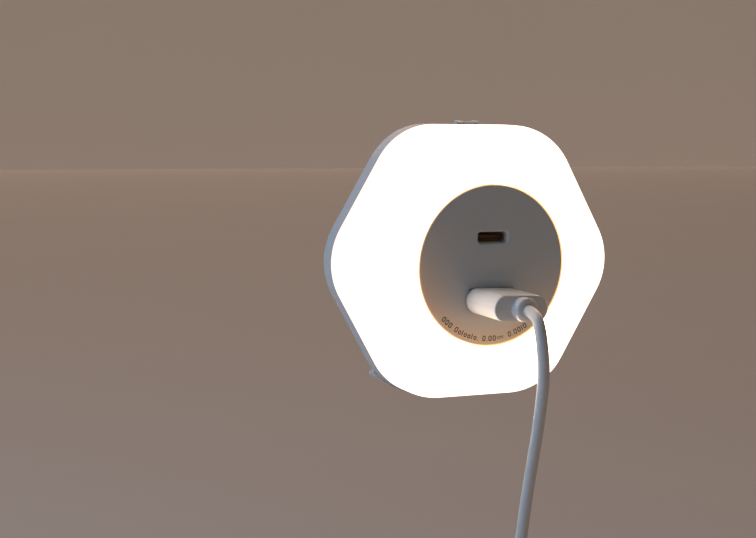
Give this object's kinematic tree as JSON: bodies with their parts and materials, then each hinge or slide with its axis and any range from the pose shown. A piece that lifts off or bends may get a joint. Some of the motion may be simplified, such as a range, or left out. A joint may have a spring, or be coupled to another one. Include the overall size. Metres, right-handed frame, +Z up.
{
  "type": "plug-in night light with usb charger",
  "caption": "Hexagonal plug-in wall night light with an opal lit face, a round port plate with USB-C and USB-A sockets, a slide switch and a white charging cable.",
  "frame": {"origin": "centre of the ring face at the rear of the neck that seats on the wall socket's front", "axes": "+X right as seen from the room, +Y into the wall along the plug pins, +Z up"},
  "size_m": [0.0784, 0.1127, 0.184],
  "materials": {
    "opal_diffuser": "opal diffuser, lit from inside, soft satin",
    "port_plate_plastic": "fine matt moulded plastic, light grey",
    "housing_plastic": "satin white moulded plastic",
    "pin_metal": "nickel-plated brass, polished",
    "tray_plastic": "white reflective plastic",
    "light_board": "white solder mask on aluminium board",
    "led_lens": "yellow phosphor under clear resin",
    "green_board": "green solder mask on glass-epoxy board",
    "steel_shell": "nickel-plated pressed steel",
    "port_tongue": "black moulded contact carrier",
    "black_plastic": "black moulded plastic",
    "gold_contact": "gold-flashed contacts",
    "screw_steel": "zinc-plated steel",
    "knob_plastic": "white moulded plastic, slightly translucent",
    "switch_metal": "tin-plated steel",
    "ferrite": "dark sintered ferrite",
    "winding_tape": "yellow insulating tape",
    "capacitor_sleeve": "dark shrink sleeve",
    "copper_winding": "enamelled copper wire",
    "fuse_ceramic": "sand-filled ceramic tube",
    "blue_epoxy": "blue dipped epoxy",
    "brown_wire": "brown insulated wire",
    "blue_wire": "blue insulated wire",
    "white_wire": "white insulated wire",
    "plug_insert": "white moulded contact carrier",
    "cable_grip": "soft satin white overmould",
    "cable_jacket": "soft satin white jacket",
    "tie_strap": "white hook-and-loop strap"
  },
  "bodies": {
    "light": {"diffuser": "opal_diffuser", "port_plate": "port_plate_plastic", "rear_housing": "housing_plastic", "supply_case": "housing_plastic", "plug_base": "housing_plastic", "live_pin": "pin_metal", "neutral_pin": "pin_metal", "light_tray": "tray_plastic", "led_board": "light_board", "leds": "led_lens", "port_board": "green_board", "main_board": "green_board", "usb_c_shell": "steel_shell", "usb_a_shell": "steel_shell", "usb_c_tongue": "port_tongue", "usb_a_tongue": "port_tongue", "port_header": "black_plastic", "header_pins": "gold_contact", "port_screws": "screw_steel", "case_screws": "screw_steel", "board_screws": "screw_steel", "switch_body": "switch_metal", "transformer_core": "ferrite", "transformer_winding": "winding_tape", "mains_capacitors": "capacitor_sleeve", "output_capacitors": "capacitor_sleeve", "mains_choke": "copper_winding", "fuse": "fuse_ceramic", "bridge_rectifier": "black_plastic", "safety_capacitor": "blue_epoxy", "control_chips": "black_plastic", "live_wire": "brown_wire", "neutral_wire": "blue_wire", "led_wires": "white_wire"},
    "switch": {"switch_knob": "knob_plastic", "switch_slider": "black_plastic"},
    "charging_cable": {"usb_plug_shell": "steel_shell", "usb_plug_insert": "plug_insert", "usb_plug_grip": "cable_grip", "usb_plug_collar": "cable_grip", "cable_run": "cable_jacket", "cable_coil": "cable_jacket", "cable_tie": "tie_strap", "cable_end": "cable_jacket", "end_plug_collar": "cable_grip", "end_plug_grip": "cable_grip", "end_plug_shell": "steel_shell"}
  },
  "joints": [
    {"name": "switch_slide", "type": "slide", "parent": "light", "child": "switch", "axis": [1, 0, 0], "range_m": [-0.002, 0]},
    {"name": "cable_pull_out", "type": "slide", "parent": "light", "child": "charging_cable", "axis": [0, -1, 0], "range_m": [0, 0.014]}
  ]
}
